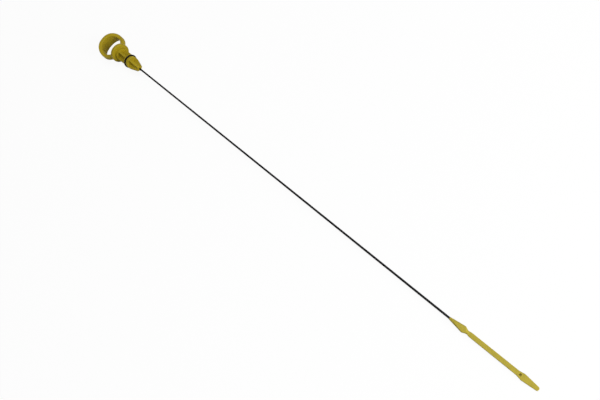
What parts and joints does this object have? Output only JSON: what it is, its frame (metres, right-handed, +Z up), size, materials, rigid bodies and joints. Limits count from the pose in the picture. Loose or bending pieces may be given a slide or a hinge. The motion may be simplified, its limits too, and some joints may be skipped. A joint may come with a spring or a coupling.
{
  "type": "engine oil dipstick",
  "caption": "Oil dipstick with a moulded finger-loop handle, seating flange and O-ring plug, on a thin steel wire ending in a moulded measuring blade with an arrowhead.",
  "frame": {"origin": "on the floor, under the middle of the lying dipstick's bounding box", "axes": "+X along the stick from the handle to the measuring tip, +Z up, the finger loop's axis within about a degree of +Z"},
  "size_m": [0.6306, 0.0332, 0.023],
  "materials": {
    "handle_plastic": "satin moulded yellow",
    "seal_rubber": "smooth black",
    "wire_steel": "dark drawn",
    "tip_plastic": "satin moulded yellow"
  },
  "bodies": {
    "root": {"handle": "handle_plastic", "o_ring": "seal_rubber", "wire": "wire_steel", "measuring_tip": "tip_plastic"}
  },
  "joints": []
}
